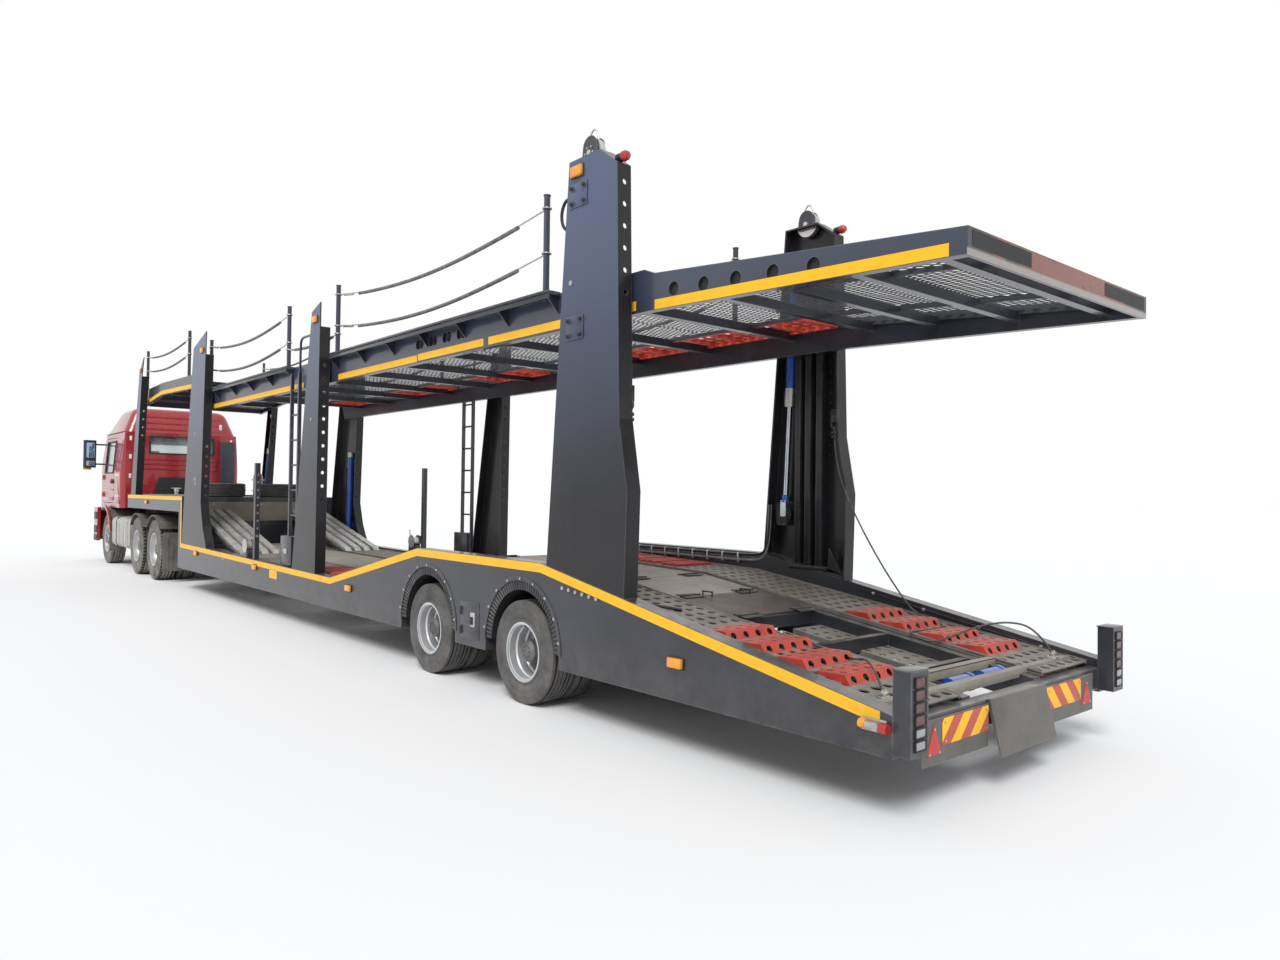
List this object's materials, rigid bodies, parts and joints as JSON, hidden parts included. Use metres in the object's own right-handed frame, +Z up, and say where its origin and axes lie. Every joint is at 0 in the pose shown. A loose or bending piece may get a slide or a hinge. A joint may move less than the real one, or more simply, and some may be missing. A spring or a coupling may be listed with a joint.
{
  "type": "car transporter truck",
  "caption": "Articulated car transporter: cab-over tractor and low car-carrier semitrailer with tilting upper decks, steered front axle, opening doors and rolling wheels.",
  "frame": {"origin": "on the ground under the middle of the whole length, on the centre line", "axes": "+X forward, +Y to the left, +Z up"},
  "size_m": [21.02, 3.06, 4.22],
  "materials": {
    "frame_paint": "dark satin paint",
    "column_paint": "dark gloss paint",
    "cab_paint": "red gloss paint",
    "tread_paint": "worn orange red paint",
    "cylinder_paint": "blue gloss paint",
    "deck_steel": "dusty plate",
    "galvanised": "galvanised",
    "rod_chrome": "polished rod",
    "axle_iron": "black",
    "rim_steel": "silver rims",
    "tyre": "black rubber",
    "black_plastic": "matte",
    "tank_metal": "brushed",
    "engine_iron": "plain",
    "glass": "tinted",
    "lamp": "lens",
    "seat_fabric": "dark",
    "marker_board": "plain boards"
  },
  "bodies": {
    "trailer": {"side_girders": "frame_paint", "trailer_frame": "frame_paint", "lower_deck": "deck_steel", "wheel_ramps": "tread_paint", "gooseneck": "frame_paint", "front_columns": "column_paint", "rear_columns": "column_paint", "lift_cylinders": "cylinder_paint", "ladders": "frame_paint", "spare_wheels": "tyre", "trailer_axles": "axle_iron", "tail_boards": "marker_board", "tail_lamps": "lamp", "loading_ramps": "galvanised"},
    "tractor": {"tractor_frame": "frame_paint", "tractor_axles": "axle_iron", "engine": "engine_iron", "chassis_tanks": "tank_metal", "fifth_wheel": "axle_iron", "mudguards": "black_plastic", "cab_shell": "cab_paint", "cab_roof": "cab_paint", "cab_front": "cab_paint", "front_bumper": "black_plastic", "cab_glass": "glass", "tractor_lamps": "lamp", "cab_interior": "seat_fabric", "mirrors": "black_plastic"},
    "main_deck": {"main_deck": "frame_paint", "deck_floor": "deck_steel", "deck_treads": "tread_paint"},
    "front_deck": {"front_deck": "frame_paint"},
    "rear_lift_rods": {"rear_lift_rods": "rod_chrome"},
    "front_lift_rods": {"front_lift_rods": "rod_chrome"},
    "knuckle_left": {"knuckle_left": "axle_iron"},
    "front_wheel_left": {"front_tyre_left": "tyre", "front_rim_left": "rim_steel"},
    "door_left": {"cab_door_left": "cab_paint", "door_glass_left": "glass"},
    "knuckle_right": {"knuckle_right": "axle_iron"},
    "front_wheel_right": {"front_tyre_right": "tyre", "front_rim_right": "rim_steel"},
    "door_right": {"cab_door_right": "cab_paint", "door_glass_right": "glass"},
    "trailer_wheel_1_left": {"trailer_tyres_1_left": "tyre", "trailer_rim_1_left": "rim_steel"},
    "trailer_wheel_1_right": {"trailer_tyres_1_right": "tyre", "trailer_rim_1_right": "rim_steel"},
    "trailer_wheel_2_left": {"trailer_tyres_2_left": "tyre", "trailer_rim_2_left": "rim_steel"},
    "trailer_wheel_2_right": {"trailer_tyres_2_right": "tyre", "trailer_rim_2_right": "rim_steel"},
    "drive_wheel_1_left": {"drive_tyres_1_left": "tyre", "drive_rim_1_left": "rim_steel"},
    "drive_wheel_1_right": {"drive_tyres_1_right": "tyre", "drive_rim_1_right": "rim_steel"},
    "drive_wheel_2_left": {"drive_tyres_2_left": "tyre", "drive_rim_2_left": "rim_steel"},
    "drive_wheel_2_right": {"drive_tyres_2_right": "tyre", "drive_rim_2_right": "rim_steel"}
  },
  "joints": [
    {"name": "kingpin", "type": "hinge", "parent": "trailer", "child": "tractor", "pos_m": [5.425, 0, 1.236], "axis": [0, 0, 1], "range_deg": [-90, 90]},
    {"name": "main_deck_tilt", "type": "hinge", "parent": "trailer", "child": "main_deck", "pos_m": [1.87, 0, 2.96], "axis": [0, -1, 0], "range_deg": [-2, 8]},
    {"name": "front_deck_tilt", "type": "hinge", "parent": "trailer", "child": "front_deck", "pos_m": [2.27, 0, 3.33], "axis": [0, 1, 0], "range_deg": [-4, 8]},
    {"name": "rear_lift", "type": "slide", "parent": "trailer", "child": "rear_lift_rods", "axis": [-0.0479, 0, 0.9988], "range_m": [-0.17, 0.67]},
    {"name": "front_lift", "type": "slide", "parent": "trailer", "child": "front_lift_rods", "axis": [-0.1979, 0, 0.9802], "range_m": [-0.53, 0.27]},
    {"name": "steer_left", "type": "hinge", "parent": "tractor", "child": "knuckle_left", "pos_m": [9.2, 0.87, 0.53], "axis": [0, 0, 1], "range_deg": [-38, 38]},
    {"name": "front_roll_left", "type": "hinge", "parent": "knuckle_left", "child": "front_wheel_left", "pos_m": [9.2, 1.025, 0.53], "axis": [0, 1, 0], "continuous": true},
    {"name": "door_left_open", "type": "hinge", "parent": "tractor", "child": "door_left", "pos_m": [9.77, 1.17, 1.64], "axis": [0, 0, -1], "range_deg": [0, 70]},
    {"name": "steer_right", "type": "hinge", "parent": "tractor", "child": "knuckle_right", "pos_m": [9.2, -0.87, 0.53], "axis": [0, 0, 1], "range_deg": [-38, 38]},
    {"name": "front_roll_right", "type": "hinge", "parent": "knuckle_right", "child": "front_wheel_right", "pos_m": [9.2, -1.025, 0.53], "axis": [0, 1, 0], "continuous": true},
    {"name": "door_right_open", "type": "hinge", "parent": "tractor", "child": "door_right", "pos_m": [9.77, -1.17, 1.64], "axis": [0, 0, 1], "range_deg": [0, 70]},
    {"name": "trailer_roll_1_left", "type": "hinge", "parent": "trailer", "child": "trailer_wheel_1_left", "pos_m": [-6.99, 1, 0.395], "axis": [0, 1, 0], "continuous": true},
    {"name": "trailer_roll_1_right", "type": "hinge", "parent": "trailer", "child": "trailer_wheel_1_right", "pos_m": [-6.99, -1, 0.395], "axis": [0, 1, 0], "continuous": true},
    {"name": "trailer_roll_2_left", "type": "hinge", "parent": "trailer", "child": "trailer_wheel_2_left", "pos_m": [-5.5, 1, 0.395], "axis": [0, 1, 0], "continuous": true},
    {"name": "trailer_roll_2_right", "type": "hinge", "parent": "trailer", "child": "trailer_wheel_2_right", "pos_m": [-5.5, -1, 0.395], "axis": [0, 1, 0], "continuous": true},
    {"name": "drive_roll_1_left", "type": "hinge", "parent": "tractor", "child": "drive_wheel_1_left", "pos_m": [4.75, 1, 0.53], "axis": [0, 1, 0], "continuous": true},
    {"name": "drive_roll_1_right", "type": "hinge", "parent": "tractor", "child": "drive_wheel_1_right", "pos_m": [4.75, -1, 0.53], "axis": [0, 1, 0], "continuous": true},
    {"name": "drive_roll_2_left", "type": "hinge", "parent": "tractor", "child": "drive_wheel_2_left", "pos_m": [6.1, 1, 0.53], "axis": [0, 1, 0], "continuous": true},
    {"name": "drive_roll_2_right", "type": "hinge", "parent": "tractor", "child": "drive_wheel_2_right", "pos_m": [6.1, -1, 0.53], "axis": [0, 1, 0], "continuous": true}
  ],
  "couplings": [
    {"joint": "rear_lift", "follows": "main_deck_tilt", "m_per_rad": 4.75},
    {"joint": "front_lift", "follows": "front_deck_tilt", "m_per_rad": -3.745},
    {"joint": "steer_right", "follows": "steer_left", "ratio": 1}
  ]
}
